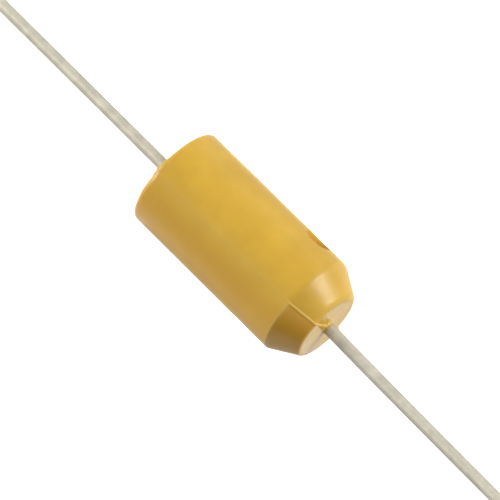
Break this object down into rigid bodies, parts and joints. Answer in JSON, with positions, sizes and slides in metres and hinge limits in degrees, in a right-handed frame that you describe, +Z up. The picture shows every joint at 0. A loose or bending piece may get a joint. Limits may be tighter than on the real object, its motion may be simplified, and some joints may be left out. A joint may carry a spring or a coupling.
{
  "type": "axial tantalum capacitor",
  "caption": "Axial-lead solid tantalum capacitor: gold-yellow moulded epoxy cylinder, flat at the cathode and tapered at the anode, with a stiff tinned wire out of each end.",
  "frame": {"origin": "middle of the case, on the axis of the leads; both leads have the same free length", "axes": "+X along the leads towards the tapered anode end, +Z up, mould parting plane at Y = 0"},
  "size_m": [0.0648, 0.0046, 0.0046],
  "materials": {
    "epoxy": "satin moulded gold-yellow epoxy",
    "tinned_wire": "matte tin on nickel wire",
    "tantalum_wire": "drawn tantalum",
    "sintered_tantalum": "porous sintered tantalum with its oxide",
    "weld_metal": "as welded",
    "fluoropolymer": "white, waxy",
    "manganese_dioxide": "matte brown-black",
    "graphite": "dull grey-black",
    "silver_paint": "dried silver paint",
    "solder": "solidified solder"
  },
  "bodies": {
    "root": {"moulded_case": "epoxy", "anode_lead": "tinned_wire", "cathode_lead": "tinned_wire", "riser_wire": "tantalum_wire", "tantalum_slug": "sintered_tantalum", "weld_bead": "weld_metal", "insulating_washer": "fluoropolymer", "dioxide_layer": "manganese_dioxide", "graphite_layer": "graphite", "silver_layer": "silver_paint", "cathode_solder": "solder"}
  },
  "joints": []
}
